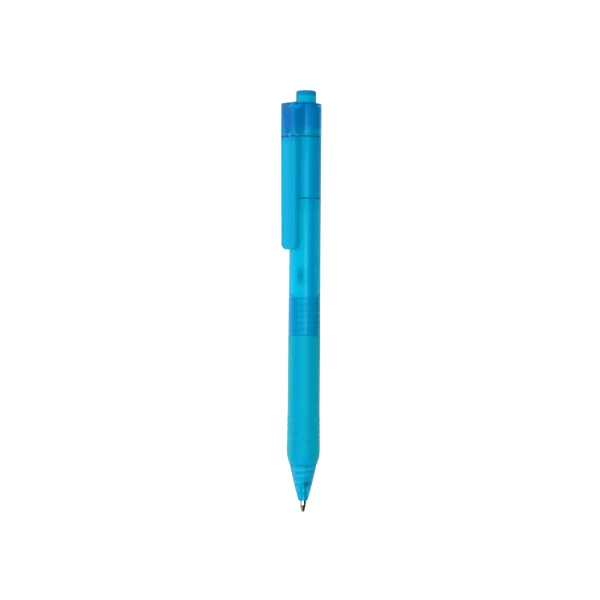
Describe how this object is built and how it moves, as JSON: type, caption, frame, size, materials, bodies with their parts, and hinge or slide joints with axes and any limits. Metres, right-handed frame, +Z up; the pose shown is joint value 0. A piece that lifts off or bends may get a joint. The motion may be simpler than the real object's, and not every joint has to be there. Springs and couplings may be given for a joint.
{
  "type": "gel pen",
  "caption": "Retractable gel pen with a translucent frosted barrel, soft silicone grip, side clip, push button, cam click mechanism and refill.",
  "frame": {"origin": "centre of the bounding box, on the surface that the pen lies on", "axes": "+X along the pen towards the writing tip, +Z up, the clip on the -Y side and 15 degrees below level"},
  "size_m": [0.142, 0.0144, 0.0112],
  "materials": {
    "frosted_plastic": "frosted translucent cyan",
    "clip_plastic": "clear-frosted deeper blue where it is thick",
    "silicone": "milky teal silicone, dull",
    "button_plastic": "translucent cyan, satin",
    "mechanism_plastic": "frosted translucent",
    "refill_clear": "clear tube",
    "refill_white": "milky white moulding",
    "ink": "blue gel ink",
    "follower_grease": "teal grease plug",
    "tip_metal": "turned nickel silver, bright",
    "carbide_ball": "polished carbide",
    "spring_steel": "drawn wire"
  },
  "bodies": {
    "casing": {"front_barrel": "frosted_plastic", "grip_sleeve": "silicone", "barrel": "frosted_plastic", "cap_tube": "frosted_plastic", "clip_collar": "clip_plastic", "guide_sleeve": "mechanism_plastic", "return_spring": "spring_steel"},
    "clip": {"clip": "clip_plastic"},
    "button": {"push_button": "button_plastic"},
    "refill": {"refill_tube": "refill_clear", "ink_column": "ink", "ink_follower": "follower_grease", "refill_plug": "mechanism_plastic", "tip_holder": "refill_white", "writing_tip": "tip_metal", "tip_ball": "carbide_ball"},
    "rotor": {"cam_rotor": "mechanism_plastic"}
  },
  "joints": [
    {"name": "button_press", "type": "slide", "parent": "casing", "child": "button", "axis": [-1, 0, 0], "range_m": [-0.001, 0.005]},
    {"name": "refill_travel", "type": "slide", "parent": "casing", "child": "refill", "axis": [-1, 0, 0], "range_m": [-0.001, 0.005], "deforming": ["return_spring"]},
    {"name": "rotor_spin", "type": "hinge", "parent": "refill", "child": "rotor", "pos_m": [-0.0435, 0.00157, 0.00558], "axis": [-1, 0, 0], "continuous": true},
    {"name": "clip_flex", "type": "hinge", "parent": "casing", "child": "clip", "pos_m": [-0.0553, -0.00533, 0.00373], "axis": [0, 0.2588, -0.9659], "range_deg": [0, 3], "stiffness_Nm_per_rad": 0.8}
  ],
  "couplings": [
    {"joint": "refill_travel", "follows": "button_press", "ratio": 1}
  ]
}
